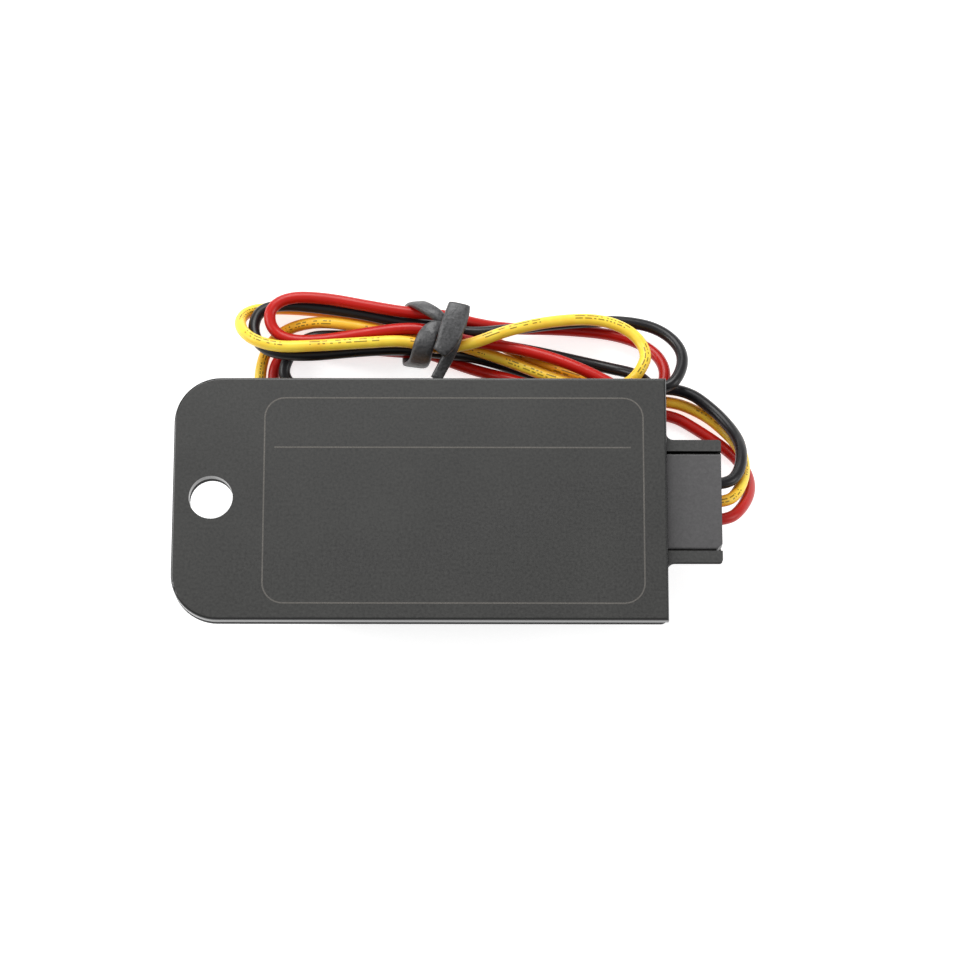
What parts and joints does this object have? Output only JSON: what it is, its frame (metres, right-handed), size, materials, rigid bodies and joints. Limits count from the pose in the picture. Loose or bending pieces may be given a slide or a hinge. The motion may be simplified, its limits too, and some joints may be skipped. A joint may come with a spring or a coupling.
{
  "type": "temperature humidity sensor module",
  "caption": "Flat black plastic sensor module with a slotted grille, a screw ear, a pull-out wire plug in an open end socket, and a tied hank of red, yellow and black leads.",
  "frame": {"origin": "on the grille face (the face that lies on the table), under the middle of the case", "axes": "+X along the case from the screw ear towards the plug; +Y across the case towards the hank of wires; +Z out of the flat back cover"},
  "size_m": [0.0632, 0.0396, 0.0138],
  "materials": {
    "case_plastic": "satin moulded ABS",
    "plug_plastic": "satin moulded nylon",
    "board_laminate": "glass epoxy with solder mask",
    "sensor_ceramic": "fired ceramic",
    "tinned_lead": "tin plated",
    "tinned_pin": "tin plated brass",
    "bead_epoxy": "dipped epoxy",
    "chip_resin": "moulded resin",
    "capacitor_ceramic": "fired ceramic",
    "resistor_glaze": "glazed ceramic",
    "header_nylon": "moulded nylon",
    "terminal_brass": "stamped",
    "red_insulation": "soft PVC",
    "yellow_insulation": "soft PVC",
    "black_insulation": "soft PVC",
    "tinned_strand": "tinned copper",
    "tie_plastic": "flat plastic strip over a soft wire"
  },
  "bodies": {
    "module": {"front_housing": "case_plastic", "back_cover": "case_plastic", "circuit_board": "board_laminate", "humidity_element": "sensor_ceramic", "humidity_legs": "tinned_lead", "thermistor_bead": "bead_epoxy", "thermistor_leads": "tinned_lead", "microcontroller": "chip_resin", "microcontroller_leads": "tinned_lead", "chip_capacitors": "capacitor_ceramic", "chip_resistors": "resistor_glaze", "header_housing": "header_nylon", "header_pins": "tinned_pin"},
    "plug": {"plug_housing": "plug_plastic", "red_terminal": "terminal_brass", "yellow_terminal": "terminal_brass", "black_terminal": "terminal_brass", "red_wire": "red_insulation", "yellow_wire": "yellow_insulation", "black_wire": "black_insulation", "red_wire_end": "tinned_strand", "yellow_wire_end": "tinned_strand", "black_wire_end": "tinned_strand", "wire_tie": "tie_plastic"}
  },
  "joints": [
    {"name": "plug_pull", "type": "slide", "parent": "module", "child": "plug", "axis": [1, 0, 0], "range_m": [0, 0.007]}
  ]
}
